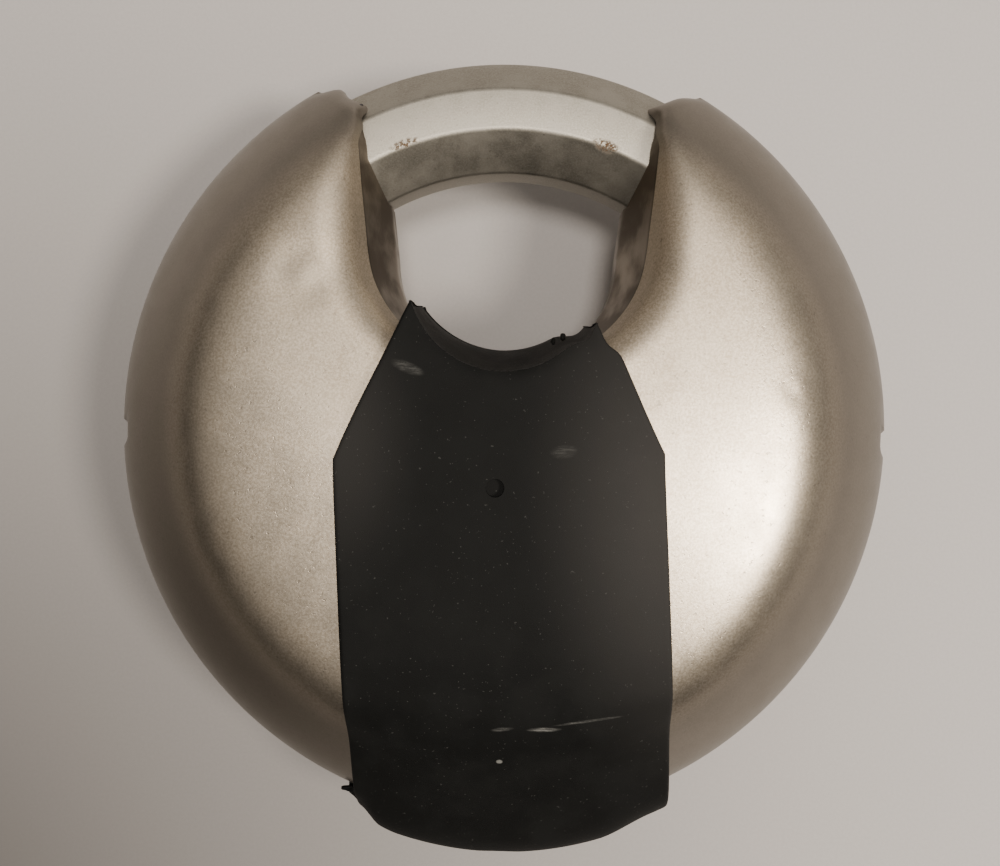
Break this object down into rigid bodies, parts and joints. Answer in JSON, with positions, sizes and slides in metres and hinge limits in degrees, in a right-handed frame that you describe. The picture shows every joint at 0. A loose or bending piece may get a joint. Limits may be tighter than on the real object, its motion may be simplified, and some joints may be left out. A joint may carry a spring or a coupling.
{
  "type": "discus padlock",
  "caption": "Round shrouded padlock usable as a brake disc lock: two dished steel shells, a black rubber cover band, and a curved shackle wound back by the key.",
  "frame": {"origin": "centre of the disc on the flat back face of the rear cover", "axes": "+X to the right seen from the front, +Y from the key entry towards the shackle, +Z out of the front face"},
  "size_m": [0.07, 0.0715, 0.027],
  "materials": {
    "shell_steel": "satin stainless sheet, fine random grain, light specks",
    "liner_steel": "dull stainless strip",
    "core_zinc": "grey zinc die casting",
    "hard_plate": "dark hardened steel",
    "pin_steel": "ground steel",
    "shackle_steel": "zinc-plated hardened steel with specks of rust",
    "bush_bronze": "oiled bronze",
    "cover_rubber": "worn matt black rubber",
    "housing_brass": "turned brass",
    "plug_brass": "bright turned brass",
    "pin_brass": "small turned pins",
    "collar_steel": "satin steel",
    "spring_steel": "bright wire"
  },
  "bodies": {
    "root": {"front_shell": "shell_steel", "rear_shell": "shell_steel", "throat_liner": "liner_steel", "front_core": "core_zinc", "rear_core": "core_zinc", "front_wear_plate": "hard_plate", "rear_wear_plate": "hard_plate", "left_guide": "hard_plate", "right_guide": "hard_plate", "pivot_pin": "pin_steel", "core_rivets": "pin_steel", "front_cover": "cover_rubber", "rear_cover": "cover_rubber", "cylinder_housing": "housing_brass", "keyway_collar": "collar_steel", "drill_pins": "hard_plate", "cylinder_pin": "pin_steel", "driver_pins": "pin_brass", "pin_springs": "spring_steel", "chamber_cap": "housing_brass"},
    "shackle": {"shackle": "shackle_steel", "hub_bush": "bush_bronze"},
    "plug": {"plug": "plug_brass", "plug_clip": "spring_steel", "driver_cam": "pin_steel", "key_pins": "pin_brass"}
  },
  "joints": [
    {"name": "shackle_turn", "type": "hinge", "parent": "root", "child": "shackle", "pos_m": [0, 0.0012, 0.0135], "axis": [0, 0, 1], "range_deg": [0, 60]},
    {"name": "plug_turn", "type": "hinge", "parent": "root", "child": "plug", "pos_m": [0, -0.022, 0.0135], "axis": [0, 1, 0], "range_deg": [0, 180]}
  ],
  "couplings": [
    {"joint": "plug_turn", "follows": "shackle_turn", "ratio": 3}
  ]
}
